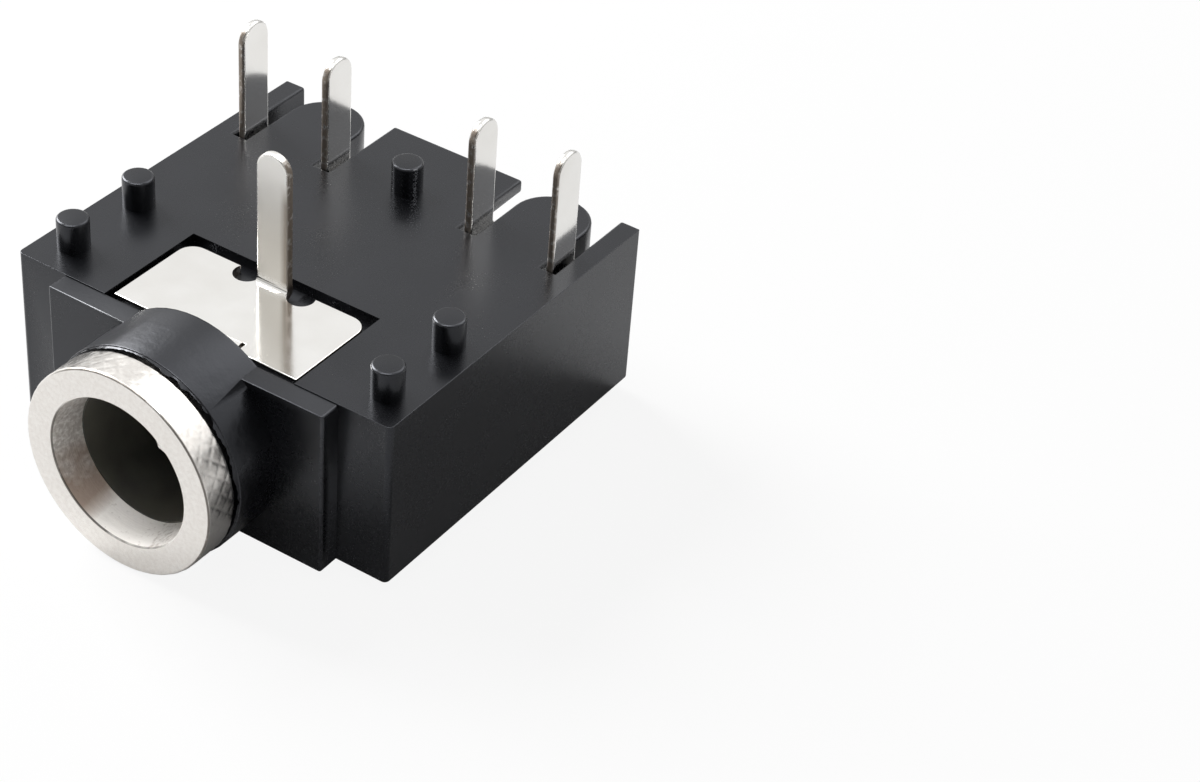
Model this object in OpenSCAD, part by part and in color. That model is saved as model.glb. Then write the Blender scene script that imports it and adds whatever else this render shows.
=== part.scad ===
// Stereo jack socket for a circuit board, drawn with its board face and solder pins up.
// The plug goes in from -Y. Y counts from the housing's front face and Z from its underside,
// and place() then moves the whole part so that the origin is below the middle of its box.

/* [Housing] */
// width of the housing across the solder pins
body_w = 11; // [10.6:0.1:12]
// length from the front face to the open rear
body_l = 10.25; // [10:0.05:11]
// height from the underside to the board face
body_h = 4.57; // [4.56:0.01:5]
// thickness of each side wall
side_wall = 0.57; // [0.45:0.01:0.8]
// thickness of the wall in front of the spring chambers
front_wall = 1.2; // [0.9:0.05:1.25]
// thickness of the floor
floor_t = 0.45; // [0.4:0.01:0.45]
// thickness of the board face over the spring chambers
roof_t = 0.9; // [0.8:0.05:0.9]
// thickness of the middle of the board face, over the plug's way
centre_roof_t = 0.35; // [0.3:0.01:0.36]
// radius of the upright corners at the front
corner_r = 0.15; // [0.1:0.05:0.6]

/* [Plug way] */
// height of the plug's axis above the underside
axis_z = 2.4; // [2.36:0.01:2.41]
// diameter of the guide bore behind the ferrule
bore_d = 3.6; // [3.56:0.01:3.62]
// diameter of the wider channel behind the guide bore
channel_d = 3.94; // [3.92:0.01:3.96]
// length of the guide bore behind the front face
bore_l = 0.1; // [0.05:0.05:0.3]
// length of the solid block round the channel
block_l = 3.4; // [3.3:0.05:3.5]

// thickness of the skin between the channel and the sleeve plate
skin_t = 0.12; // [0.1:0.01:0.12]

/* [Nose] */
// diameter of the boss round the mouth
boss_d = 5.5; // [5.2:0.05:5.8]
// reach of the boss in front of the front face
boss_l = 1.86; // [1.5:0.02:2.4]
// width of the raised slab on the front face
slab_w = 8.1; // [6:0.1:9.6]
// thickness of the slab
slab_t = 0.57; // [0.3:0.01:0.8]
// step down from the board face to the slab's top
slab_drop = 0.03; // [0.02:0.01:0.2]

/* [Ferrule] */
// outside diameter of the ring
ring_d = 5.4; // [5:0.05:5.6]
// length of the ring in front of the boss
ring_l = 0.9; // [0.6:0.05:1.4]
// open line between the ring and the boss
ring_gap = 0.14; // [0.05:0.01:0.2]
// diameter of the ring's mouth, where the lead-in starts
mouth_d = 3.89; // [3.75:0.01:4.1]
// diameter of the ring's hole at the rear end of the lead-in
throat_d = 3.64; // [3.62:0.01:3.7]
// wall of the spigot that is pressed into the boss
spigot_t = 0.26; // [0.2:0.01:0.3]
// length of the spigot inside the boss
spigot_l = 0.86; // [0.6:0.02:1.2]
// thin plastic wall between the guide bore and the spigot
liner_t = 0.25; // [0.2:0.01:0.27]

/* [Pegs] */
// diameter of the locating pegs
peg_d = 0.8; // [0.6:0.02:1]
// height of the pegs above the board face
peg_h = 0.82; // [0.5:0.02:1.2]
// distance from a side to the middle of its pegs
peg_inset = 0.85; // [0.7:0.05:1.1]
// distance from the front face to the middle of the front pegs
peg_front = 1.02; // [0.7:0.02:1.4]
// distance between the two pegs on one side
peg_step = 2.34; // [1.6:0.02:3]
// distance from the rear to the middle of the fifth peg
rear_peg_inset = 2.22; // [1.2:0.02:2.6]

/* [Board face and inside] */
// width of the middle tongue
centre_w = 4; // [3.9:0.05:4.1]
// distance from the rear to the end of the middle tongue
centre_short = 0.04; // [0.02:0.01:0.5]
// space left on each side of an upright sheet
slot_play = 0.1; // [0.06:0.01:0.12]
// wider space on the outer side of the inner sheets
inner_play = 0.16; // [0.1:0.01:0.2]
// height of the pads that stand on the floor under the side tongues
pad_h = 0.43; // [0.2:0.01:0.6]
// length of the pads
pad_l = 4.4; // [2.5:0.1:5]
// height of the saddle's top above the underside
saddle_h = 1.4; // [1:0.05:1.5]
// distance from the rear to the end of the saddle
saddle_short = 1.4; // [0.8:0.1:2]

/* [Sleeve terminal] */
// thickness of the plate
plate_t = 0.22; // [0.2:0.01:0.24]
// width of the plate
plate_w = 5.4; // [4.6:0.05:5.6]
// distance from the front face to the plate's front edge
plate_front = 0.2; // [0.1:0.02:0.3]
// distance from the front face to the plate's rear edge
plate_back = 2.95; // [2.85:0.01:3]
// step down from the board face to the plate
plate_drop = 0.06; // [0.03:0.01:0.08]
// radius of the plate's rear corners
plate_corner = 0.45; // [0.2:0.05:0.7]
// gap between the plate and the sides of its recess
plate_gap = 0.1; // [0.05:0.01:0.2]
// gap behind the plate
plate_gap_back = 0.25; // [0.15:0.01:0.3]
// radius of the round notches beside the pin
notch_r = 0.35; // [0.25:0.01:0.45]
// width of the sleeve pin
sleeve_pin_w = 0.92; // [0.7:0.02:1.1]
// distance from the front face to the pin's front
sleeve_pin_y = 2.7; // [2.6:0.01:2.72]
// height of the sleeve pin above the board face
sleeve_pin_h = 3.6; // [2.5:0.05:4.5]
// inside radius of the plate's bends
plate_bend = 0.08; // [0.05:0.01:0.1]
// width of the tab that presses on the plug
tab_w = 1.7; // [1:0.05:2]
// distance from the front face to the start of the tab's bend
tab_y = 0.55; // [0.5:0.01:0.6]
// angle through which the tab curls down
tab_turn = 105; // [90:5:120]

/* [Springs] */
// thickness of the spring sheet
spring_t = 0.2; // [0.16:0.01:0.22]
// width of the leaf
leaf_w = 1.3; // [1:0.05:1.4]
// length of the spring's upright base
base_l = 1.32; // [1.1:0.02:1.6]
// distance from the rear to the front edge of the base and pin
spring_pin_rear = 2.88; // [2.8:0.02:3]
// width of the spring pins
spring_pin_w = 1; // [0.8:0.02:1.08]
// height of the spring pins above the board face
spring_pin_h = 3.08; // [2:0.02:4]
// gap between the front wall and the leaf's front bend
leaf_front_gap = 0.2; // [0.1:0.02:0.3]
// distance from the front face to the start of the arm's slope
slope_y = 4.3; // [4.25:0.01:4.4]
// distance from the axis to the middle of the tip spring's contact bend
tip_x = 0.9; // [0.8:0.02:1.2]
// distance from the front face to the tip spring's contact bend
tip_y = 8.1; // [7.8:0.02:8.2]
// distance from the axis to the middle of the ring spring's contact bend
ring_x = 1.4; // [1.3:0.02:1.5]
// distance from the front face to the ring spring's contact bend
ring_y = 5.6; // [5.5:0.02:5.8]
// flat length of the free end behind the contact bend
flare_l = 0.52; // [0.46:0.02:0.6]
// angle of the free end from the plug's axis
flare_turn = 46; // [40:1:52]

/* [Switch contacts] */
// thickness of the contact sheet
contact_t = 0.22; // [0.18:0.01:0.26]
// distance from the rear to the front edge of the contact's pin
contact_pin_rear = 2.74; // [2.7:0.02:2.8]
// width of the switch pins
contact_pin_w = 1; // [0.8:0.02:1.08]
// height of the switch pins above the board face
contact_pin_h = 2.92; // [2:0.02:4]
// distance from the front face to the contact's front end
finger_y = 3.6; // [3.55:0.01:3.7]
// length of the tab on which the spring rests
rest_l = 0.6; // [0.4:0.02:0.62]
// height of the finger that carries the tab
finger_h = 0.45; // [0.3:0.01:0.45]
// distance from the tab's lower end to the plug's axis
rest_drop = 0.35; // [0.1:0.05:0.6]
// open gap between the resting spring and its contact
rest_gap = 0.02; // [0.01:0.01:0.04]

/* [Hidden] */
$fn = 64;
plastic = "#1d1e20";
nickel = "#d9d6d0";
phosphor = "#cfcbc3";
eps = 0.5;
half_w = body_w / 2;
nose_l = boss_l + ring_gap + ring_l;
roof_z = body_h - roof_t;
wall_x = half_w - side_wall;
spring_x = wall_x - slot_play - spring_t / 2;
tongue_out = spring_x - spring_t / 2 - slot_play;
contact_x = centre_w / 2 + slot_play + contact_t / 2;
tongue_in = contact_x + contact_t / 2 + inner_play;
tongue_r = (tongue_out - tongue_in) / 2;
tongue_x = (tongue_out + tongue_in) / 2;
arm_x = contact_x + contact_t / 2 + rest_gap + spring_t / 2;
block_x = arm_x - spring_t / 2 - slot_play;
channel_top = body_h - plate_drop - plate_t - skin_t;
groove_in = bore_d / 2 + liner_t;
spigot_in = groove_in + 0.02;
spigot_out = spigot_in + spigot_t;
groove_out = spigot_out + 0.02;
plate_z = body_h - plate_drop - plate_t;
plate_bend_out = plate_bend + plate_t;
pin_foot_y = sleeve_pin_y - plate_bend;
notch_x = sleeve_pin_w / 2 + notch_r;
notch_y = plate_back - notch_r / 2;
spring_y = body_l - spring_pin_rear;
contact_y = body_l - contact_pin_rear;
slot_front = 0.05;
leaf_z = axis_z - leaf_w / 2;
bend_y = front_wall + leaf_front_gap + spring_t / 2;
bend_r = (spring_x - arm_x) / 2 - 0.08;
bend_steps = 10;

// Puts the origin below the middle of the box that holds the whole part.
module place() {
    translate([0, (nose_l - body_l) / 2, max(boss_d / 2 - axis_z, 0)])
        children();
}

// A cylinder along the plug's axis from y0 back to y1.
module along_axis(y0, y1, d) {
    translate([0, y1, axis_z])
        rotate([90, 0, 0])
            cylinder(d = d, h = y1 - y0);
}

// The same shape on both sides of the middle.
module both_sides() {
    children();
    mirror([1, 0, 0])
        children();
}

// The plan of a side tongue with its round rear end, raised to a height.
module tongue(y0, z0, h) {
    translate([tongue_in, y0, z0])
        cube([2 * tongue_r, body_l - tongue_r - y0, h]);
    translate([tongue_x, body_l - tongue_r, z0])
        cylinder(r = tongue_r, h = h);
}

// A locating peg with a narrow chamfer round its top.
module peg(x, y) {
    chamfer = peg_d * 0.05;
    translate([x, y, body_h - 0.2])
        cylinder(d = peg_d, h = peg_h + 0.2 - chamfer);
    translate([x, y, body_h + peg_h - chamfer])
        cylinder(d1 = peg_d, d2 = peg_d - 2 * chamfer, h = chamfer);
}

// Outside of the moulding, still solid.
module blank() {
    translate([-half_w, corner_r, 0])
        cube([body_w, body_l - corner_r, body_h]);
    translate([corner_r - half_w, 0, 0])
        cube([body_w - 2 * corner_r, body_l, body_h]);
    both_sides()
        translate([half_w - corner_r, corner_r, 0])
            cylinder(r = corner_r, h = body_h);
    translate([-slab_w / 2, -slab_t, 0])
        cube([slab_w, slab_t + eps, body_h - slab_drop]);
    along_axis(-boss_l, 0, boss_d);
    along_axis(-boss_l - ring_gap + 0.02, 0, 2 * groove_in);
    both_sides() {
        peg(half_w - peg_inset, peg_front);
        peg(half_w - peg_inset, peg_front + peg_step);
    }
    peg(0, body_l - rear_peg_inset);
}

// Room inside for the springs, open at the rear, less the pads and the saddle.
module chambers() {
    rear = body_l - block_l + eps;
    difference() {
        union() {
            both_sides()
                translate([block_x, front_wall, floor_t])
                    cube([wall_x - block_x, body_l - front_wall + eps, roof_z - floor_t]);
            translate([-block_x - 0.1, block_l, floor_t])
                cube([2 * block_x + 0.2, rear, roof_z - floor_t]);
            translate([-centre_w / 2, block_l, floor_t])
                cube([centre_w, rear, body_h - centre_roof_t - floor_t]);
        }
        both_sides()
            tongue(body_l - pad_l, 0, floor_t + pad_h);
        translate([-centre_w / 2, 0, 0])
            cube([centre_w, body_l - saddle_short, saddle_h]);
    }
}

// The slots round the side tongues, and the step at the end of the middle tongue.
module slots() {
    both_sides()
        difference() {
            union() {
                translate([tongue_x, spring_y - slot_front, roof_z - eps])
                    cube([wall_x - tongue_x, body_l, roof_t + 2 * eps]);
                translate([centre_w / 2, contact_y - slot_front, roof_z - eps])
                    cube([tongue_x - centre_w / 2, body_l, roof_t + 2 * eps]);
            }
            tongue(0, 0, body_h + 2 * eps);
        }
    translate([-centre_w / 2 - 0.1, body_l - centre_short, roof_z - eps])
        cube([centre_w + 0.2, body_l, roof_t + 2 * eps]);
}

// Guide bore, channel behind it with a flat top, and the groove for the ferrule's spigot.
module plug_way() {
    along_axis(-nose_l, bore_l, bore_d);
    intersection() {
        along_axis(bore_l, body_l - saddle_short + 0.01, channel_d);
        translate([-half_w, 0, 0])
            cube([body_w, body_l + eps, channel_top]);
    }
    difference() {
        along_axis(-nose_l, -boss_l + spigot_l, 2 * groove_out);
        along_axis(-nose_l - eps, -boss_l + spigot_l + eps, 2 * groove_in);
    }
}

// Recess for the sleeve plate, and the window through which its tab reaches the plug.
module recess() {
    translate([-plate_w / 2 - plate_gap, 0, plate_z])
        cube([plate_w + 2 * plate_gap, plate_back + plate_gap_back, body_h]);
    translate([-tab_w / 2 - plate_gap, 0, axis_z + channel_d * 0.3])
        cube([tab_w + 2 * plate_gap, tab_y + 0.4, body_h]);
}

module housing() {
    color(plastic)
        place()
            difference() {
                blank();
                chambers();
                slots();
                plug_way();
                recess();
            }
}

module ferrule() {
    back = boss_l + ring_gap;
    chamfer = 0.05;
    color(nickel)
        place()
            translate([0, 0, axis_z])
                rotate([90, 0, 0])
                    rotate_extrude()
                        polygon([
                            [throat_d / 2, back],
                            [spigot_in, back],
                            [spigot_in, boss_l - spigot_l],
                            [spigot_out, boss_l - spigot_l],
                            [spigot_out, back],
                            [ring_d / 2 - chamfer, back],
                            [ring_d / 2, back + chamfer],
                            [ring_d / 2, nose_l - chamfer],
                            [ring_d / 2 - chamfer, nose_l],
                            [mouth_d / 2 + chamfer / 2, nose_l],
                            [mouth_d / 2, nose_l - chamfer / 2]
                        ]);
}

// The flat plate with its round rear corners, less the notches and the two bends' room.
module sleeve_plate() {
    difference() {
        union() {
            translate([-plate_w / 2, plate_front, plate_z])
                cube([plate_w, plate_back - plate_corner - plate_front, plate_t]);
            translate([plate_corner - plate_w / 2, plate_front, plate_z])
                cube([plate_w - 2 * plate_corner, plate_back - plate_front, plate_t]);
            both_sides()
                translate([plate_w / 2 - plate_corner, plate_back - plate_corner, plate_z])
                    cylinder(r = plate_corner, h = plate_t);
        }
        both_sides()
            translate([notch_x, notch_y, plate_z - eps])
                cylinder(r = notch_r, h = plate_t + 2 * eps);
        translate([-notch_x, notch_y, plate_z - eps])
            cube([2 * notch_x, body_l, plate_t + 2 * eps]);
        translate([-sleeve_pin_w / 2 - 0.01, pin_foot_y, plate_z - eps])
            cube([sleeve_pin_w + 0.02, body_l, plate_t + 2 * eps]);
        translate([-tab_w / 2 - plate_gap, -eps, plate_z - eps])
            cube([tab_w + 2 * plate_gap, tab_y + eps, plate_t + 2 * eps]);
    }
}

// A bend of the plate about an axis along X: the sheet's inside is at plate_bend.
module plate_bend_arc(w, turn) {
    translate([-w / 2, 0, 0])
        rotate([90, 0, 90])
            rotate_extrude(angle = turn)
                translate([plate_bend, 0])
                    square([plate_t, w]);
}

// The narrow sheet of a pin in the plane Y-Z, with a round top.
module pin_blade(w, z0, z1, t) {
    r = w / 2;
    translate([-t / 2, 0, z0])
        cube([t, w, z1 - r - z0]);
    translate([-t / 2, r, z1 - r])
        rotate([0, 90, 0])
            cylinder(r = r, h = t);
}

module sleeve_terminal() {
    color(nickel)
        place() {
            sleeve_plate();
            translate([0, pin_foot_y, plate_z + plate_bend_out])
                rotate([-90, 0, 0])
                    plate_bend_arc(sleeve_pin_w, 90);
            translate([sleeve_pin_w / 2, sleeve_pin_y + plate_t / 2, 0])
                rotate([0, 0, 90])
                    pin_blade(sleeve_pin_w, plate_z + plate_bend_out, body_h + sleeve_pin_h, plate_t);
            translate([0, tab_y, plate_z - plate_bend])
                rotate([90, 0, 0])
                    plate_bend_arc(tab_w, tab_turn);
        }
}

// Direction from one corner of a bent strip to the next.
function heading(a, b) = atan2(b[1] - a[1], b[0] - a[0]);

// Turn at a corner, positive to the left.
function turn_at(a, b, c) =
    let (d = heading(b, c) - heading(a, b))
    d > 180 ? d - 360 : d < -180 ? d + 360 : d;

// Length that a bend takes from each of the two straights at a corner.
function trim_at(p, i) =
    i == 0 || i == len(p) - 1 ? 0 : p[i][2] * tan(abs(turn_at(p[i - 1], p[i], p[i + 1])) / 2);

// Points along one edge of a strip's plan, off to the left of its middle line by a distance.
// Each corner is given as X, Y and the middle radius of its bend.
function strip_edge(p, off) =
    let (
        last = len(p) - 1,
        first_a = heading(p[0], p[1]) + 90,
        last_a = heading(p[last - 1], p[last]) + 90
    )
    concat(
        [[p[0][0] + off * cos(first_a), p[0][1] + off * sin(first_a)]],
        [for (i = [1 : last - 1])
            let (
                a = heading(p[i - 1], p[i]),
                turn = turn_at(p[i - 1], p[i], p[i + 1]),
                side = turn > 0 ? 1 : -1,
                cut = trim_at(p, i),
                r = p[i][2],
                cx = p[i][0] - cut * cos(a) - side * r * sin(a),
                cy = p[i][1] - cut * sin(a) + side * r * cos(a),
                edge = r - side * off
            )
            for (k = [0 : bend_steps])
                let (b = a - side * 90 + turn * k / bend_steps)
                [cx + edge * cos(b), cy + edge * sin(b)]],
        [[p[last][0] + off * cos(last_a), p[last][1] + off * sin(last_a)]]
    );

// A strip on edge that follows the corners.
module bent_strip(p, t, z0, h) {
    left = strip_edge(p, t / 2);
    right = strip_edge(p, -t / 2);
    back = [for (i = [len(right) - 1 : -1 : 0]) right[i]];
    translate([0, 0, z0])
        linear_extrude(h)
            polygon(concat(left, back));
}

// A spring on the +X side: base and pin in the outer slot, leaf forward along the wall,
// round the front bend and back to the contact bend at the given place, with a free end.
module spring(apex_x, apex_y) {
    end = [apex_x + flare_l * sin(flare_turn), apex_y + flare_l * cos(flare_turn)];
    translate([spring_x, spring_y, 0])
        pin_blade(spring_pin_w, roof_z, body_h + spring_pin_h, spring_t);
    translate([spring_x - spring_t / 2, spring_y, floor_t])
        cube([spring_t, base_l, body_h - 0.5 - floor_t]);
    bent_strip([
        [spring_x, spring_y + 0.4, 0],
        [spring_x, bend_y, bend_r],
        [arm_x, bend_y, bend_r],
        [arm_x, slope_y, 0.6],
        [apex_x, apex_y, 0.4],
        [end[0], end[1], 0]
    ], spring_t, leaf_z, leaf_w);
    translate([end[0], end[1], axis_z])
        rotate([0, 0, -flare_turn])
            rotate([0, 90, 0])
                translate([0, 0, -spring_t / 2])
                    cylinder(d = leaf_w, h = spring_t);
}

// A switch contact on the +X side: a flat stamping with its pin in the inner slot and a
// finger that carries the resting tab in front.
module switch_contact() {
    finger_top = roof_z - 0.05;
    x0 = contact_x - contact_t / 2;
    translate([contact_x, contact_y, 0])
        pin_blade(contact_pin_w, floor_t, body_h + contact_pin_h, contact_t);
    translate([x0, finger_y, finger_top - finger_h])
        cube([contact_t, contact_y + 0.3 - finger_y, finger_h]);
    translate([x0, finger_y, axis_z - rest_drop])
        cube([contact_t, rest_l, finger_top - axis_z + rest_drop]);
}

module tip_spring() {
    color(phosphor)
        place()
            mirror([1, 0, 0])
                spring(tip_x, tip_y);
}

module tip_switch_contact() {
    color(nickel)
        place()
            mirror([1, 0, 0])
                switch_contact();
}

module ring_spring() {
    color(phosphor)
        place()
            spring(ring_x, ring_y);
}

module ring_switch_contact() {
    color(nickel)
        place()
            switch_contact();
}

housing();
ferrule();
sleeve_terminal();
tip_spring();
tip_switch_contact();
ring_spring();
ring_switch_contact();
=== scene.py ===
import math

import bmesh
import bpy
from mathutils import Matrix, Vector, noise


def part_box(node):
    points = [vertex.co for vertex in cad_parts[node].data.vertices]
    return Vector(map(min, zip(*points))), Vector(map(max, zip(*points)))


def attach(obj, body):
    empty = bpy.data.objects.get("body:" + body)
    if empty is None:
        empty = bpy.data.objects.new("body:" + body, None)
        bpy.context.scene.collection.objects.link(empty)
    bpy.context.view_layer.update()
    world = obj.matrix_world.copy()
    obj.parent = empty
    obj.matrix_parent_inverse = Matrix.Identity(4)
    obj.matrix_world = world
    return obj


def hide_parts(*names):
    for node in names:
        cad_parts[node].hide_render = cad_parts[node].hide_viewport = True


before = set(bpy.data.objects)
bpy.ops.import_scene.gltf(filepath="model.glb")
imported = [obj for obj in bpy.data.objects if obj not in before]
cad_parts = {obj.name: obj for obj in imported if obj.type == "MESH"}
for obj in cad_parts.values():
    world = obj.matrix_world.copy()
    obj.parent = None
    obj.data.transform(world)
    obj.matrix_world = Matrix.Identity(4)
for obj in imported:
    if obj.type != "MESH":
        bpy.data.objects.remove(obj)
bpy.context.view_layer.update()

# Housing
# The real housing is one injection moulding in satin black plastic. The nose boss, the slab behind it,
# the slotted board face and the five locating pegs come out of the mould together, with small edge radii.
MM = 0.001
WELD_GAP = 0.0001 * MM
FLAT_ANGLE = math.radians(0.6)
SHARP_ANGLE = math.radians(28)
EDGE_SHARE = 0.46
LEAST_RADIUS = 0.004 * MM
RUN_ANGLE = math.radians(135)
ROOM_PLACES = (0.03, 0.2, 0.35, 0.5, 0.65, 0.8, 0.97)
ROUND_SEGMENTS = 3


def welded_node(node):
    """The mesh of a node with its seams closed and the triangles of each flat face joined."""
    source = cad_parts[node].data
    plain = bpy.data.meshes.new(node + "_plain")
    corners = [tuple(vertex.co) for vertex in source.vertices]
    plain.from_pydata(corners, [], [tuple(face.vertices) for face in source.polygons])
    bm = bmesh.new()
    bm.from_mesh(plain)
    bpy.data.meshes.remove(plain)
    bmesh.ops.remove_doubles(bm, verts=bm.verts, dist=WELD_GAP)
    bmesh.ops.dissolve_limit(bm, angle_limit=FLAT_ANGLE, verts=bm.verts, edges=bm.edges)
    return bm


def is_sharp(edge):
    """True where two faces meet at a real edge of the piece."""
    return len(edge.link_faces) == 2 and edge.calc_face_angle(0) > SHARP_ANGLE


def room_beside(loop, share):
    """How far the loop's face runs on, square to a point of this edge, before another real edge."""
    first_co, last_co = loop.vert.co, loop.link_loop_next.vert.co
    start = first_co.lerp(last_co, share)
    along = (last_co - first_co).normalized()
    inward = loop.face.normal.cross(along)
    room = math.inf
    for other in loop.face.loops:
        if other == loop or not is_sharp(other.edge):
            continue
        first = other.vert.co - start
        last = other.link_loop_next.vert.co - start
        side_first, side_last = first.dot(along), last.dot(along)
        if side_first * side_last > 0 or abs(side_first - side_last) < WELD_GAP:
            continue
        depth = first.lerp(last, side_first / (side_first - side_last)).dot(inward)
        if depth > WELD_GAP:
            room = min(room, depth)
    return room


def run_of_edges(edge, stops):
    """All real edges that a real edge runs on into without a corner or a stop, itself among them."""
    run, waiting = {edge}, [edge]
    while waiting:
        for vertex in waiting.pop().verts:
            real = [other for other in vertex.link_edges if is_sharp(other)]
            if vertex in stops or len(real) != 2 or not all(other.is_convex for other in real):
                continue
            first, last = (other.other_vert(vertex).co - vertex.co for other in real)
            if first.angle(last, 0) > RUN_ANGLE:
                waiting += [other for other in real if other not in run]
                run.update(real)
    return run


def edge_radii(bm, edge_radius, stops):
    """The radius of each real edge: even along a run, and no more than its faces leave room for."""
    radii = {}
    for edge in bm.edges:
        if edge in radii or not is_sharp(edge):
            continue
        if not edge.is_convex:
            radii[edge] = 0.0
            continue
        run = run_of_edges(edge, stops)
        room = min(room_beside(loop, share) for e in run for loop in e.link_loops for share in ROOM_PLACES)
        radius = min(EDGE_SHARE * room, min(edge_radius(e) for e in run))
        radii.update({e: radius if radius > LEAST_RADIUS else 0.0 for e in run})
    return radii


def rounded_piece(name, node, edge_radius, cut_z=None):
    """A piece that stands for a node, with its edges rounded. No rounding runs on past the cut."""
    bm = welded_node(node)
    weight = bm.edges.layers.float.new("bevel_weight_edge")
    stops = set()
    if cut_z is not None:
        whole = [*bm.verts, *bm.edges, *bm.faces]
        cut = bmesh.ops.bisect_plane(bm, geom=whole, plane_co=(0, 0, cut_z), plane_no=(0, 0, 1))
        stops.update(part for part in cut["geom_cut"] if isinstance(part, bmesh.types.BMVert))
    radii = edge_radii(bm, edge_radius, stops)
    widest = max(radii.values())
    for edge, radius in radii.items():
        edge[weight] = radius / widest
        edge.smooth = radius > 0
    for face in bm.faces:
        face.smooth = True
    mesh = bpy.data.meshes.new(name)
    bm.to_mesh(mesh)
    bm.free()
    piece = bpy.data.objects.new(name, mesh)
    bpy.context.scene.collection.objects.link(piece)
    rounding = piece.modifiers.new("edge_rounding", "BEVEL")
    rounding.limit_method = "WEIGHT"
    rounding.width = widest
    rounding.segments = ROUND_SEGMENTS
    rounding.use_clamp_overlap = False
    flats = piece.modifiers.new("flat_faces", "WEIGHTED_NORMAL")
    flats.keep_sharp = True
    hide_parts(node)
    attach(piece, "root")
    return piece


class Wire:
    """A socket in a node tree, which stands in sums and products as a number does."""

    def __init__(self, tree, socket=None):
        self.tree = tree
        self.socket = socket

    def node(self, kind, sockets=None, out=0, **settings):
        """Adds a node: its settings first, then the values or links of its sockets."""
        made = self.tree.nodes.new("ShaderNode" + kind)
        for name, value in settings.items():
            setattr(made, name, value)
        for name, value in (sockets or {}).items():
            if isinstance(value, Wire):
                self.tree.links.new(value.socket, made.inputs[name])
            else:
                made.inputs[name].default_value = value
        return Wire(self.tree, made.outputs[out] if made.outputs else None)

    def maths(self, operation, first, second=0.0):
        """Adds a Math node for one operation on one or two values."""
        return self.node("Math", {0: first, 1: second}, operation=operation)

    def __add__(self, other):
        return self.maths("ADD", self, other)

    def __sub__(self, other):
        return self.maths("SUBTRACT", self, other)

    def __rsub__(self, other):
        return self.maths("SUBTRACT", other, self)

    def __mul__(self, other):
        return self.maths("MULTIPLY", self, other)

    __radd__ = __add__
    __rmul__ = __mul__


def new_finish(name):
    """An empty material, and the wire that its nodes are made from."""
    finish = bpy.data.materials.new(name)
    finish.use_nodes = True
    finish.node_tree.nodes.clear()
    return finish, Wire(finish.node_tree)


def millimetres(wire):
    """Places on the part, in millimetres."""
    place = wire.node("TexCoord", out="Object")
    return wire.node("VectorMath", {0: place, 1: (1 / MM, 1 / MM, 1 / MM)}, operation="MULTIPLY")


def speckle(wire, place, per_mm, detail, stretch=(1, 1, 1)):
    """Soft noise with that many spots per millimetre, drawn out where stretch is small."""
    spread = wire.node("VectorMath", {0: place, 1: stretch}, operation="MULTIPLY")
    return wire.node("TexNoise", {"Vector": spread, "Scale": per_mm, "Detail": detail})


def ramp_up(wire, value, low, high):
    """0 below low, 1 above high and even between them."""
    return wire.node("MapRange", {"Value": value, "From Min": low, "From Max": high})


# A colour Mix node's sockets by number, because their names are not unique
MIX_SHARE = 0
MIX_UNDER = 6
MIX_OVER = 7
MIX_COLOUR = 2


def painted(wire, share, under, over):
    """A colour over another, by share. Each is a wire or a plain colour."""
    under = under if isinstance(under, Wire) else (*under, 1)
    over = over if isinstance(over, Wire) else (*over, 1)
    sockets = {MIX_SHARE: share, MIX_UNDER: under, MIX_OVER: over}
    return wire.node("Mix", sockets, out=MIX_COLOUR, data_type="RGBA")


def part_of(wire, vector, axis):
    """One part of a vector, by the name of its axis."""
    return wire.node("SeparateXYZ", {0: vector}, out=axis)


def dressed(finish, wire, sockets):
    """Closes a finish with a surface that takes these sockets."""
    surface = wire.node("BsdfPrincipled", sockets)
    wire.node("OutputMaterial", {"Surface": surface})
    return finish


PLASTIC_BLACK = (0.0022, 0.0024, 0.0031)
PLASTIC_GREY = (0.0044, 0.0047, 0.0058)
# Edge colours, paler than the face: a painted highlight along the rounded edges, and paler still where
# rubbed
EDGE_SHEEN_BLACK = (0.012, 0.012, 0.014)
EDGE_WORN_SHEEN_GREY = (0.034, 0.035, 0.038)
# Paler colour in the bore near its mouth: dust, and painted light falling in
BORE_DUST_AND_LIGHT = (0.22, 0.212, 0.175)
COOL_SHEEN = (0.88, 0.91, 1.0, 1)
PLASTIC_IOR = 1.5
PLASTIC_GRAIN = 15
GRAIN_DEPTH = 0.004 * MM
housing_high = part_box("housing")[1]
ferrule_low, ferrule_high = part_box("ferrule")
PLUG_AXIS_Z = (ferrule_high.z + ferrule_low.z) / 2

# Places where the plastic's finish changes, in millimetres
SLAB_REAR_Y = -3.69
SLAB_TOP_Z = 4.7
BOSS_ROOT_Y = -4.3
# Where the bore's dust and painted light are full and where they fade out
DUST_AND_LIGHT_START_Y = -2.8
DUST_AND_LIGHT_END_Y = -1.2
BORE_RADIUS = 1.98


def from_plug_axis(wire, place):
    """The way from the plug's axis to each place, in millimetres, without the depth."""
    moved = wire.node("VectorMath", {0: place, 1: (0, 0, PLUG_AXIS_Z / MM)}, operation="SUBTRACT")
    return wire.node("VectorMath", {0: moved, 1: (1, 0, 1)}, operation="MULTIPLY")


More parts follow.
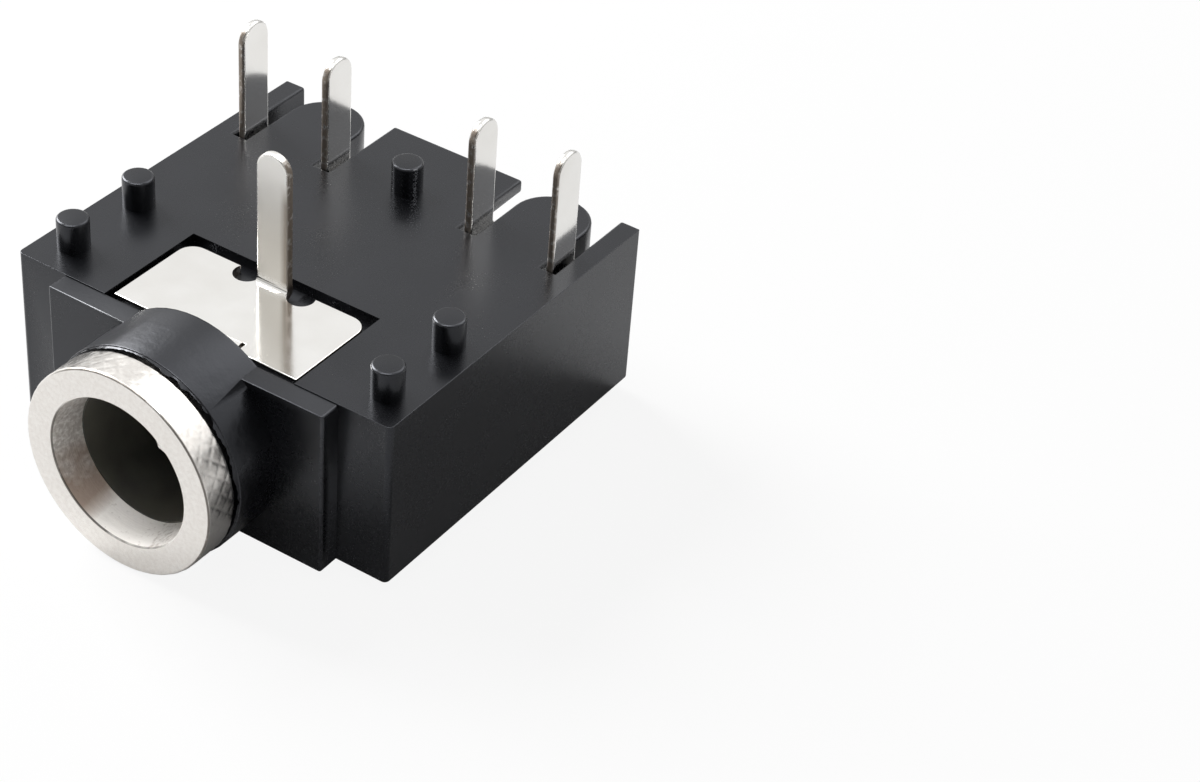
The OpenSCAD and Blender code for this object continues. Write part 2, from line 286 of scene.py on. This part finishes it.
def satin_plastic():
    """Satin black plastic: an even sheen on the board face, a sparked grain on the slab, a dull bore paler
    near its mouth.
    """
    finish, wire = new_finish("satin_black_plastic")
    place = millimetres(wire)
    cloud = speckle(wire, place, per_mm=0.45, detail=4)
    grain = speckle(wire, place, PLASTIC_GRAIN, detail=2)
    mottle = speckle(wire, place, per_mm=2.4, detail=3) - 0.5
    depth = part_of(wire, place, "Y")
    height = part_of(wire, place, "Z")
    slab = ramp_up(wire, depth, SLAB_REAR_Y, SLAB_REAR_Y - 0.04)
    slab = slab * ramp_up(wire, height, SLAB_TOP_Z, SLAB_TOP_Z + 0.1)
    radius = wire.node("VectorMath", {0: from_plug_axis(wire, place)}, out="Value", operation="LENGTH")
    bore = 1 - ramp_up(wire, radius, BORE_RADIUS, BORE_RADIUS + 0.02)
    # The bore is painted paler near its mouth, fading inward: dust, and painted light falling in at the
    # mouth
    dust_and_light = bore * (0.3 + 0.35 * ramp_up(wire, cloud, 0.35, 0.65))
    dust_and_light = dust_and_light * ramp_up(wire, depth, DUST_AND_LIGHT_END_Y, DUST_AND_LIGHT_START_Y)
    boss = ramp_up(wire, depth, BOSS_ROOT_Y, BOSS_ROOT_Y - 0.1) * (1 - bore)
    colour = painted(wire, ramp_up(wire, cloud, 0.35, 0.7), PLASTIC_BLACK, PLASTIC_GREY)
    colour = painted(wire, dust_and_light, colour, BORE_DUST_AND_LIGHT)
    roughness = 0.20 + 0.10 * cloud + 0.05 * grain + 0.12 * slab + 0.2 * bore
    relief = grain * (0.35 + 0.9 * slab) + 0.6 * cloud + 12 * boss * mottle
    bump = wire.node("Bump", {"Height": relief, "Strength": 0.35, "Distance": GRAIN_DEPTH})
    return dressed(finish, wire, {
        "Base Color": colour,
        "Roughness": roughness,
        "IOR": PLASTIC_IOR,
        "Specular Tint": COOL_SHEEN,
        "Normal": bump,
    })


def rubbed_plastic_with_sheen():
    """The same plastic on its rounded edges, painted paler as a painted highlight along them, and rubbed
    smoother and paler still by handling in places.
    """
    finish, wire = new_finish("rubbed_black_plastic_painted_sheen")
    place = millimetres(wire)
    rubs = speckle(wire, place, per_mm=2.2, detail=4)
    grain = speckle(wire, place, PLASTIC_GRAIN, detail=2)
    # Where handling rubbed the edges paler and smoother, on top of their painted highlight
    painted_edge_tone = ramp_up(wire, rubs, 0.38, 0.66)
    bump = wire.node("Bump", {"Height": grain + rubs, "Strength": 0.25, "Distance": GRAIN_DEPTH})
    return dressed(finish, wire, {
        "Base Color": painted(wire, painted_edge_tone, EDGE_SHEEN_BLACK, EDGE_WORN_SHEEN_GREY),
        "Roughness": 0.30 - 0.10 * painted_edge_tone,
        "IOR": PLASTIC_IOR,
        "Specular Tint": COOL_SHEEN,
        "Normal": bump,
    })


PEG_TOP_Z = housing_high.z
PEG_RADIUS = 0.04 * MM
MOULD_RADIUS = 0.075 * MM
FINE_RADIUS = 0.025 * MM
LINER_RADIUS = 2.1 * MM
BOSS_RIM_Y = -5.4 * MM
RECESS_MARGIN = 0.3 * MM
plate_low, plate_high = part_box("sleeve_terminal")


def in_recess(place):
    """True at the recess of the board face that takes the sleeve plate."""
    beside = abs(place.x) < plate_high.x + RECESS_MARGIN
    along = plate_low.y - RECESS_MARGIN < place.y < plate_high.y + RECESS_MARGIN
    return beside and along and housing_high.z - MM < place.z < housing_high.z - RECESS_MARGIN


def mould_radius(edge):
    """Crisp at the pegs' tops and the boss's rim, sharp in the bore and recess and softer elsewhere."""
    places = [vertex.co for vertex in edge.verts]
    if all(math.hypot(place.x, place.z - PLUG_AXIS_Z) < LINER_RADIUS for place in places):
        return 0.0
    if all(in_recess(place) for place in places):
        return 0.0
    if all(place.z > PEG_TOP_Z - WELD_GAP for place in places):
        return PEG_RADIUS
    if all(place.y < BOSS_RIM_Y for place in places):
        return FINE_RADIUS
    return MOULD_RADIUS


housing = rounded_piece("housing_moulding", "housing", mould_radius)
housing.data.materials.append(satin_plastic())
housing.data.materials.append(rubbed_plastic_with_sheen())
# The rounded edges take the second finish, which is painted paler as a painted highlight along them
housing.modifiers["edge_rounding"].material = 1

# Boss flash
# Where the mould's halves shut at the boss's front rim, a thin ragged feather of plastic is left standing.
# It belongs to the housing's moulding and half hides the open line behind the ring.
RING_LENGTH = 0.9 * MM
OPEN_LINE = 0.14 * MM
RING_BACK = ferrule_low.y + RING_LENGTH
BOSS_FRONT = RING_BACK + OPEN_LINE
FLASH_RADIUS = 2.70 * MM
FLASH_THICK = 0.035 * MM
FLASH_BLUNT = 0.2 * FLASH_THICK
FLASH_ROOT = 0.06 * MM
FLASH_REACH = 0.12 * MM
FLASH_STEPS = 300
FLASH_MEAN = 0.42
FLASH_WAVES = 2.3
FLASH_WAVE_SHARE = 0.75
FLASH_WAVE_SEED = 3.1
FLASH_TEETH = 11
FLASH_TOOTH_SHARE = 0.55
FLASH_TOOTH_SEED = 0.7
FLASH_TOOTH_FRACTAL = (0.6, 2.0, 3)
CREASE_ANGLE = math.radians(40)


def round_plug_axis(radius, depth, turn):
    """The place at a radius and an angle round the plug's axis."""
    return Vector((radius * math.cos(turn), depth, PLUG_AXIS_Z + radius * math.sin(turn)))


def swept_piece(name, steps, section_at):
    """A closed piece from the sections at even turns round the plug's axis."""
    bm = bmesh.new()
    turns = [2 * math.pi * step / steps for step in range(steps)]
    rows = [[bm.verts.new(place) for place in section_at(turn)] for turn in turns]
    for row, after in zip(rows, rows[1:] + rows[:1]):
        for i in range(len(row)):
            j = (i + 1) % len(row)
            bm.faces.new((row[i], row[j], after[j], after[i])).smooth = True
    bmesh.ops.recalc_face_normals(bm, faces=bm.faces)
    mesh = bpy.data.meshes.new(name)
    bm.to_mesh(mesh)
    bm.free()
    mesh.set_sharp_from_angle(angle=CREASE_ANGLE)
    piece = bpy.data.objects.new(name, mesh)
    bpy.context.scene.collection.objects.link(piece)
    return piece


def flash_reach(turn):
    """How far the feather stands out of the boss at an angle: nothing in places, ragged in others."""
    x, z = math.cos(turn), math.sin(turn)
    wave = noise.noise(Vector((FLASH_WAVES * x, FLASH_WAVES * z, FLASH_WAVE_SEED)))
    tooth_place = Vector((FLASH_TEETH * x, FLASH_TEETH * z, FLASH_TOOTH_SEED))
    tooth = noise.fractal(tooth_place, *FLASH_TOOTH_FRACTAL)
    share = FLASH_MEAN + FLASH_WAVE_SHARE * wave + FLASH_TOOTH_SHARE * tooth
    return FLASH_REACH * min(1.0, max(0.0, share))


def flash_section(turn):
    """The feather's section at an angle: a thin wedge on the boss's rim with a blunt tip."""
    tip = BOSS_FRONT - flash_reach(turn)
    root = BOSS_FRONT + FLASH_ROOT
    outside, inside = FLASH_RADIUS + FLASH_THICK, FLASH_RADIUS - FLASH_THICK
    section = ((inside, root), (FLASH_RADIUS - FLASH_BLUNT, tip), (FLASH_RADIUS, tip), (outside, root))
    return [round_plug_axis(radius, depth, turn) for radius, depth in section]


flash = swept_piece("boss_flash", FLASH_STEPS, flash_section)
# The feather takes the edge plastic, painted paler as a painted highlight
flash.data.materials.append(rubbed_plastic_with_sheen())
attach(flash, "root")

# Ferrule
# The real ring is turned from brass, plated with nickel and pressed into the boss by its thin spigot.
# Its mouth narrows a little inward to guide the plug, and the lathe left a small burr on its lip.
RING_RADIUS = (ferrule_high.x - ferrule_low.x) / 2
RING_FRONT = ferrule_low.y
SPIGOT_END = ferrule_high.y
MOUTH_RADIUS = 1.945 * MM
THROAT_RADIUS = 1.82 * MM
SPIGOT_IN = 2.07 * MM
SPIGOT_OUT = 2.33 * MM
RIM_RADIUS = 0.06 * MM
LIP_RADIUS = 0.05 * MM
RING_STEPS = 480
BAND_STEPS = 18
FACE_STEPS = 8
MOUTH_STEPS = 12
CORNER_STEPS = 4
PLAIN_STEPS = 2
BAND_LUMP = 0.007 * MM
KNURL_DEPTH = 0.005 * MM
KNURL_COUNT = 38
KNURL_CRISPNESS = 4
BAND_LUMPS_ROUND = 7.0
BAND_LUMPS_ALONG = 3.2
BAND_LUMP_FRACTAL = (0.9, 2.1, 3)
LIP_BURR_ANGLE = math.radians(47)
LIP_BURR_WIDTH = math.radians(3.2)
LIP_BURR_REACH = 0.10 * MM
LIP_BURR_SPREAD = 3 * LIP_RADIUS
LIP_BURR_DEPTH = 2 * LIP_RADIUS


def line_points(start, end, steps):
    """Points along a straight stretch of the ring's section, without the last."""
    return [tuple(a + (b - a) * i / steps for a, b in zip(start, end)) for i in range(steps)]


def corner_points(centre, radius, first, last):
    """Points along a rounded corner of the ring's section, its angles in degrees, without the last."""
    turns = [math.radians(first + (last - first) * i / CORNER_STEPS) for i in range(CORNER_STEPS)]
    return [(centre[0] + radius * math.cos(a), centre[1] + radius * math.sin(a)) for a in turns]


def ring_section():
    """The ring's section as (radius, depth along Y), once round from the throat's rear edge."""
    rim, lip = RIM_RADIUS, LIP_RADIUS
    points = line_points((THROAT_RADIUS, RING_BACK), (SPIGOT_IN, RING_BACK), PLAIN_STEPS)
    points += line_points((SPIGOT_IN, RING_BACK), (SPIGOT_IN, SPIGOT_END), PLAIN_STEPS)
    points += line_points((SPIGOT_IN, SPIGOT_END), (SPIGOT_OUT, SPIGOT_END), PLAIN_STEPS)
    points += line_points((SPIGOT_OUT, SPIGOT_END), (SPIGOT_OUT, RING_BACK), PLAIN_STEPS)
    points += line_points((SPIGOT_OUT, RING_BACK), (RING_RADIUS - rim, RING_BACK), PLAIN_STEPS)
    points += corner_points((RING_RADIUS - rim, RING_BACK - rim), rim, 90, 0)
    points += line_points((RING_RADIUS, RING_BACK - rim), (RING_RADIUS, RING_FRONT + rim), BAND_STEPS)
    points += corner_points((RING_RADIUS - rim, RING_FRONT + rim), rim, 0, -90)
    points += line_points((RING_RADIUS - rim, RING_FRONT), (MOUTH_RADIUS + lip, RING_FRONT), FACE_STEPS)
    points += corner_points((MOUTH_RADIUS + lip, RING_FRONT + lip), lip, -90, -180)
    points += line_points((MOUTH_RADIUS, RING_FRONT + lip), (THROAT_RADIUS, RING_BACK), MOUTH_STEPS)
    return points


def knurl(depth, turn):
    """How deep the rolled grooves cut the band at a place: two sets of slanting lines that cross."""
    along = KNURL_COUNT * (depth - RING_FRONT) / RING_RADIUS
    lines = (math.cos(KNURL_COUNT * turn + along), math.cos(KNURL_COUNT * turn - along))
    return KNURL_DEPTH * max(max(0.0, line) ** KNURL_CRISPNESS for line in lines)


def ring_point(radius, depth, turn):
    """A point of the finished ring, with the knurl and lumps of its band and the burr on its lip."""
    on_band = radius > RING_RADIUS - RIM_RADIUS / 2 and depth < RING_BACK + WELD_GAP
    if on_band:
        x, z = math.cos(turn), math.sin(turn)
        place = Vector((x * BAND_LUMPS_ROUND, depth / MM * BAND_LUMPS_ALONG, z * BAND_LUMPS_ROUND))
        lump = 0.5 + 0.5 * noise.fractal(place, *BAND_LUMP_FRACTAL)
        radius -= BAND_LUMP * lump + knurl(depth, turn)
    off = (turn - LIP_BURR_ANGLE) / LIP_BURR_WIDTH
    near_lip = max(0.0, 1 - abs(radius - MOUTH_RADIUS) / LIP_BURR_SPREAD)
    if depth < RING_FRONT + LIP_BURR_DEPTH:
        radius -= LIP_BURR_REACH * near_lip * math.exp(-off * off)
    return round_plug_axis(radius, depth, turn)


def ring_row(turn):
    """The finished ring's section at an angle."""
    return [ring_point(radius, depth, turn) for radius, depth in ring_section()]


FERRULE_NICKEL = (0.745, 0.712, 0.675)
FERRULE_PALE = (0.815, 0.790, 0.755)
MOUTH_GREY = (0.64, 0.60, 0.56)
MOUTH_PALE_AND_LIT = (0.95, 0.93, 0.90)
TARNISH_BROWN = (0.40, 0.29, 0.22)
PAINTED_REFLECTION_DARK = (0.13, 0.115, 0.10)
TURNING_DEPTH = 0.006 * MM


def turned_nickel():
    """Nickel on turned brass: fine turning lines, a rough mouth with brown tarnish and a painted lit floor,
    painted dark edge reflections.
    """
    finish, wire = new_finish("turned_nickel")
    place = millimetres(wire)
    outward = from_plug_axis(wire, place)
    radius = wire.node("VectorMath", {0: outward}, out="Value", operation="LENGTH")
    depth = part_of(wire, place, "Y")
    side = part_of(wire, outward, "X")
    level = part_of(wire, outward, "Z")
    up_right = side + level
    turning = wire.node("CombineXYZ", {0: radius, 1: depth})
    lines = speckle(wire, turning, per_mm=26, detail=2)
    spots = speckle(wire, place, per_mm=9, detail=4)
    blotch = speckle(wire, place, per_mm=1.3, detail=3)
    mouth_edge = MOUTH_RADIUS / MM
    ring_edge = RING_RADIUS / MM
    front_edge = RING_FRONT / MM
    mouth = 1 - ramp_up(wire, radius, mouth_edge + 0.005, mouth_edge + 0.025)
    # The mouth's lower wall is painted paler, less so on the right: painted light falling in from the front
    low = mouth * ramp_up(wire, level, -0.9, -1.5) * (1 - 0.6 * ramp_up(wire, side, 0.3, 0.9))
    tarnish = mouth * ramp_up(wire, side, -0.75, -1.15) * ramp_up(wire, level, -0.25, -0.75)
    tarnish = tarnish * ramp_up(wire, blotch, 0.25, 0.5)
    # The rim at the upper right and the lip at the lower left are painted dark in blotches: a painted
    # reflection of the dark wall by the camera in their rounded edges
    rim = ramp_up(wire, radius, ring_edge - 0.055, ring_edge - 0.04)
    rim = rim * ramp_up(wire, up_right, -0.4, 0.9)
    lip = ramp_up(wire, radius, mouth_edge + 0.045, mouth_edge + 0.035)
    lip = lip * ramp_up(wire, up_right, 0.3, -0.9)
    painted_dark_reflection = ramp_up(wire, depth, front_edge + 0.045, front_edge + 0.03) * (rim + lip)
    painted_dark_reflection = painted_dark_reflection * ramp_up(wire, blotch, 0.22, 0.45)
    metal = painted(wire, ramp_up(wire, spots, 0.35, 0.65), FERRULE_NICKEL, FERRULE_PALE)
    # Random pale spots, and more of them on the lower wall as painted light
    rough = painted(wire, ramp_up(wire, spots + 0.3 * low, 0.40, 0.66), MOUTH_GREY, MOUTH_PALE_AND_LIT)
    colour = painted(wire, mouth, metal, rough)
    colour = painted(wire, tarnish * 0.8, colour, TARNISH_BROWN)
    colour = painted(wire, painted_dark_reflection * 0.85, colour, PAINTED_REFLECTION_DARK)
    roughness = 0.17 + 0.08 * spots + 0.05 * lines + 0.35 * mouth + 0.17 * low + 0.25 * painted_dark_reflection
    relief = 0.35 * lines + 0.5 * spots + 0.6 * blotch + mouth * (1.2 * lines + 3 * spots)
    bump = wire.node("Bump", {"Height": relief, "Strength": 0.4, "Distance": TURNING_DEPTH})
    return dressed(finish, wire, {
        "Base Color": colour,
        "Metallic": 1 - 0.15 * mouth,
        "Roughness": roughness,
        "Normal": bump,
    })


ferrule = swept_piece("ferrule_ring", RING_STEPS, ring_row)
ferrule.data.materials.append(turned_nickel())
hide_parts("ferrule")
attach(ferrule, "root")

# Sleeve terminal
# The real one is stamped from thin plated sheet and bent: its plate lies in the recess of the board face,
# its pin stands up between two round notches, and its tab turns down in front into the bore.
SHEET_RADIUS = 0.03 * MM
PIN_RADIUS = 0.07 * MM
SLEEVE_PIN_RADIUS = 0.045 * MM
PLATE_NICKEL = (0.815, 0.800, 0.770)
PLATE_PALE = (0.870, 0.860, 0.835)
# Darker nickel for the pin's lower part: painted shade
PIN_SHADED_NICKEL = (0.54, 0.515, 0.47)
# Brown of the sheared edges, also used for the painted dark reflection on the pin's margin
SHEAR_AND_SHADE_BROWN = (0.16, 0.125, 0.095)
ROLLED_ALONG_X = (0.12, 1, 1)
SHEARED_ON_X = (1, 0, 0)
ROLLING_DEPTH = 0.004 * MM
PIN_DULLNESS = 0.8
EDGE_DULLNESS = 0.5
PIN_MARGIN = 0.8
SLEEVE_CUT_Z = 5.0 * MM
ROOT_HALF = 0.48 * MM
TAB_HALF = 0.9 * MM
TAB_ROOT_Y = -3.1 * MM

# Places where the sheet's finish and its painted shade change, in millimetres
PIN_FOOT_Z = 4.95
PIN_SHADE_FULL_Z = 6.2
PIN_SHADE_END_Z = 8.2
MARGIN_FULL_Z = 7.3
MARGIN_END_Z = 7.9
MARGIN_START_X = 0.22
MARGIN_FULL_X = 0.38


def pin_radius(edge):
    """Rounded along the pin, sharp on the rest of the piece."""
    return PIN_RADIUS if any(vertex.co.z > PIN_FOOT_Z * MM for vertex in edge.verts) else 0.0


def sleeve_radius(edge):
    """Rounded along the pin, less round the plate, and sharp on the tab and the pin's bent root."""
    places = [vertex.co for vertex in edge.verts]
    if all(abs(place.x) < TAB_HALF and place.y < TAB_ROOT_Y for place in places):
        return 0.0
    if all(abs(place.x) < ROOT_HALF and place.z < SLEEVE_CUT_Z + WELD_GAP for place in places):
        return 0.0
    if pin_radius(edge):
        return SLEEVE_PIN_RADIUS
    return SHEET_RADIUS if edge.calc_length() > SHEET_RADIUS else 0.0


def bright_sheet(name, rolling, shear_axis, pin_dullness, margin=0.0):
    """Bright plate on stamped sheet: rolling lines, brown sheared edges, a dull pin with painted shade low
    down and on its margin.
    """
    finish, wire = new_finish(name)
    place = millimetres(wire)
    across = part_of(wire, place, "X")
    height = part_of(wire, place, "Z")
    lines = speckle(wire, place, per_mm=30, detail=2, stretch=rolling)
    spots = speckle(wire, place, per_mm=6, detail=4)
    cloud = speckle(wire, place, per_mm=0.9, detail=3)
    facing = wire.node("NewGeometry", out="True Normal")
    square_on = wire.node("VectorMath", {0: facing, 1: shear_axis}, out="Value", operation="DOT_PRODUCT")
    sheared = ramp_up(wire, wire.maths("ABSOLUTE", square_on), 0.45, 0.75)
    pin = ramp_up(wire, height, PIN_FOOT_Z, PIN_FOOT_Z + 0.2)
    dull = pin * pin_dullness
    # The pin is painted darker toward its foot, fading upward: painted shade
    pin_foot_shade = dull * (1 - 0.85 * ramp_up(wire, height, PIN_SHADE_FULL_Z, PIN_SHADE_END_Z))
    forward = ramp_up(wire, part_of(wire, facing, "Y"), -0.2, -0.6)
    # The pin's right margin, facing forward and below its top, is painted brown: a painted dark reflection
    # of its rolled edge
    painted_edge_tone = margin * pin * forward * ramp_up(wire, across, MARGIN_START_X, MARGIN_FULL_X)
    painted_edge_tone = painted_edge_tone * ramp_up(wire, height, MARGIN_END_Z, MARGIN_FULL_Z)
    # The brown share: sheared edges in ragged spots, and the painted margin reflection
    ragged = wire.maths("MAXIMUM", sheared * ramp_up(wire, spots, 0.22, 0.48), painted_edge_tone)
    colour = painted(wire, ramp_up(wire, cloud, 0.3, 0.7), PLATE_NICKEL, PLATE_PALE)
    colour = painted(wire, pin_foot_shade, colour, PIN_SHADED_NICKEL)
    colour = painted(wire, ragged * 0.9, colour, SHEAR_AND_SHADE_BROWN)
    roughness = 0.08 + 0.28 * dull + 0.05 * lines + 0.04 * cloud + 0.30 * ragged
    relief = 0.35 * lines + 0.25 * spots + 1.2 * cloud + 0.8 * sheared * spots
    bump = wire.node("Bump", {"Height": relief, "Strength": 0.3, "Distance": ROLLING_DEPTH})
    return dressed(finish, wire, {
        "Base Color": colour,
        "Metallic": 1.0,
        "Roughness": roughness,
        "Normal": bump,
    })


sleeve = rounded_piece("sleeve_plate_and_pin", "sleeve_terminal", sleeve_radius, SLEEVE_CUT_Z)
plate_sheet = bright_sheet("bright_plate_sheet", ROLLED_ALONG_X, SHEARED_ON_X, PIN_DULLNESS, PIN_MARGIN)
plate_edge = bright_sheet("bright_plate_edge", ROLLED_ALONG_X, SHEARED_ON_X, EDGE_DULLNESS, PIN_MARGIN)
sleeve.data.materials.append(plate_sheet)
sleeve.data.materials.append(plate_edge)
sleeve.modifiers["edge_rounding"].material = 1

# Tip and ring springs
# The real springs are long leaves of plated bronze strip, bent to press on the plug from both sides.
# Their solder pins stand up through the slots at the outer rear corners of the board face.
PIN_CUT_Z = 4.75 * MM
ROLLED_ALONG_Z = (1, 1, 0.12)
SHEARED_ON_Y = (0, 1, 0)
spring_strip = bright_sheet("bright_spring_strip", ROLLED_ALONG_Z, SHEARED_ON_Y, pin_dullness=0.0)
for name in ("tip_spring", "ring_spring"):
    leaf = rounded_piece(name + "_leaf", name, pin_radius, PIN_CUT_Z)
    leaf.data.materials.append(spring_strip)

# Switch contacts
# The real contacts are flat stamped blades that the springs rest on until a plug pushes them away.
# They are pressed into the moulding from behind, and their pins stand between the springs' pins.
contact_blade = bright_sheet("bright_contact_blade", ROLLED_ALONG_Z, SHEARED_ON_Y, pin_dullness=0.0)
for name in ("tip_switch_contact", "ring_switch_contact"):
    blade = rounded_piece(name + "_blade", name, pin_radius, PIN_CUT_Z)
    blade.data.materials.append(contact_blade)

# Studio
# A plain pale floor that runs out to white, and white walls with bright panels overhead and behind and a
# dark place by the camera. One soft lamp on the left leaves the right side in shade.
FLOOR_SIZE = 400 * MM
FLOOR_DROP = 0.002 * MM
FLOOR_PALE = (0.90, 0.90, 0.90)
FLOOR_GLOW = 0.90
FLOOR_MIRROR_GLOW = 0.035
WALL_LEVEL = 0.10
HORIZON_LEVEL = 0.5
HORIZON_BAND = (0.10, 0.55)
FRONT_LEVEL = 0.9
FRONT_BAND = (-0.5, 0.2)
BACK_PANEL = {"middle": (0.15, 0.61, 0.78), "rim": 0.90, "core": 0.97}
BACK_PANEL_MORE = 2.2
RIGHT_PANEL = {"middle": (0.54, 0.60, 0.59), "rim": 0.86, "core": 0.95}
RIGHT_PANEL_MORE = 0.4
TOP_PANEL = {"middle": (0.05, -0.36, 0.93), "rim": 0.89, "core": 0.95}
TOP_PANEL_MORE = 7.0
CAMERA_SIDE = {"middle": (0.30, -0.70, 0.64), "rim": 0.87, "core": 0.94}
CAMERA_SIDE_DARK = 0.9


def is_ray(wire, *kinds):
    """1 for rays of any of these kinds, and 0 for all others."""
    found = wire.node("LightPath", out=kinds[0])
    for kind in kinds[1:]:
        found = wire.maths("MAXIMUM", found, wire.node("LightPath", out=kind))
    return found


def pale_floor():
    """A matt pale floor that is seen as nearly white and keeps the part's shadow."""
    finish, wire = new_finish("pale_floor")
    straight = is_ray(wire, "Is Camera Ray")
    mirrored = is_ray(wire, "Is Glossy Ray", "Is Transmission Ray")
    matt = wire.node("BsdfDiffuse", {"Color": (*FLOOR_PALE, 1)})
    white = wire.node("Emission", {"Color": (1, 1, 1, 1), "Strength": 1.0})
    glow = straight * FLOOR_GLOW + (1 - straight) * mirrored * FLOOR_MIRROR_GLOW
    mix = wire.node("MixShader", {0: glow, 1: matt, 2: white})
    wire.node("OutputMaterial", {"Surface": mix})
    return finish


floor_mesh = bpy.data.meshes.new("studio_floor")
half = FLOOR_SIZE / 2
floor_corners = [(-half, -half, 0), (half, -half, 0), (half, half, 0), (-half, half, 0)]
floor_mesh.from_pydata(floor_corners, [], [(0, 1, 2, 3)])
floor = bpy.data.objects.new("studio_floor", floor_mesh)
floor.location.z = -FLOOR_DROP
bpy.context.scene.collection.objects.link(floor)
floor_mesh.materials.append(pale_floor())

world = bpy.data.worlds.new("studio_walls")
bpy.context.scene.world = world
world.use_nodes = True
world.node_tree.nodes.clear()
walls = Wire(world.node_tree)
direction = walls.node("TexCoord", out="Generated")


def wall_patch(middle, rim, core):
    """1 in the core of a patch of the walls and 0 outside its rim, both as cosines from its middle."""
    way = Vector(middle).normalized()
    toward = walls.node("VectorMath", {0: direction, 1: way}, out="Value", operation="DOT_PRODUCT")
    return ramp_up(walls, toward, rim, core)


height = part_of(walls, direction, "Z")
wall_level = HORIZON_LEVEL + (1 - HORIZON_LEVEL) * ramp_up(walls, height, *HORIZON_BAND)
rearward = part_of(walls, direction, "Y")
wall_level = wall_level * (FRONT_LEVEL + (1 - FRONT_LEVEL) * ramp_up(walls, rearward, *FRONT_BAND))
wall_level = wall_level + BACK_PANEL_MORE * wall_patch(**BACK_PANEL)
wall_level = wall_level + RIGHT_PANEL_MORE * wall_patch(**RIGHT_PANEL)
wall_level = wall_level + TOP_PANEL_MORE * wall_patch(**TOP_PANEL)
wall_level = wall_level * (1 - CAMERA_SIDE_DARK * wall_patch(**CAMERA_SIDE))
straight = is_ray(walls, "Is Camera Ray")
mirrored = is_ray(walls, "Is Glossy Ray", "Is Transmission Ray")
level = straight + (1 - straight) * wall_level * (mirrored + (1 - mirrored) * WALL_LEVEL)
backdrop = walls.node("Background", {"Color": (1, 1, 1, 1), "Strength": level})
walls.node("OutputWorld", {"Surface": backdrop})

LAMP_SIZE = 120 * MM
LAMP_WATTS = 0.69
LAMP_PLACE = Vector((-164, 14, 114)) * MM
lamp_data = bpy.data.lights.new("left_softbox", "AREA")
lamp_data.size = LAMP_SIZE
lamp_data.energy = LAMP_WATTS
lamp = bpy.data.objects.new("left_softbox", lamp_data)
lamp.location = LAMP_PLACE
lamp.rotation_euler = LAMP_PLACE.to_track_quat("Z", "Y").to_euler()
bpy.context.scene.collection.objects.link(lamp)

CAMERA_PLACE = Vector((34.336, -43.833, 43.453)) * MM
CAMERA_TURN = math.radians(30.417)
CAMERA_DOWN = math.radians(36.911)
CAMERA_ROLL = 0.0861
CAMERA_LENS = 84.834
CAMERA_SENSOR = 36
CAMERA_NEAR = 1 * MM
CAMERA_FAR = 2000 * MM
camera_data = bpy.data.cameras.new("camera")
camera_data.lens = CAMERA_LENS
camera_data.sensor_width = CAMERA_SENSOR
camera_data.sensor_fit = "HORIZONTAL"
camera_data.clip_start = CAMERA_NEAR
camera_data.clip_end = CAMERA_FAR
camera = bpy.data.objects.new("camera", camera_data)
turned = Matrix.Rotation(CAMERA_TURN, 4, "Z") @ Matrix.Rotation(math.pi / 2 - CAMERA_DOWN, 4, "X")
camera.matrix_world = Matrix.Translation(CAMERA_PLACE) @ turned @ Matrix.Rotation(CAMERA_ROLL, 4, "Z")
bpy.context.scene.collection.objects.link(camera)
bpy.context.scene.camera = camera
bpy.context.scene.view_settings.view_transform = "Standard"
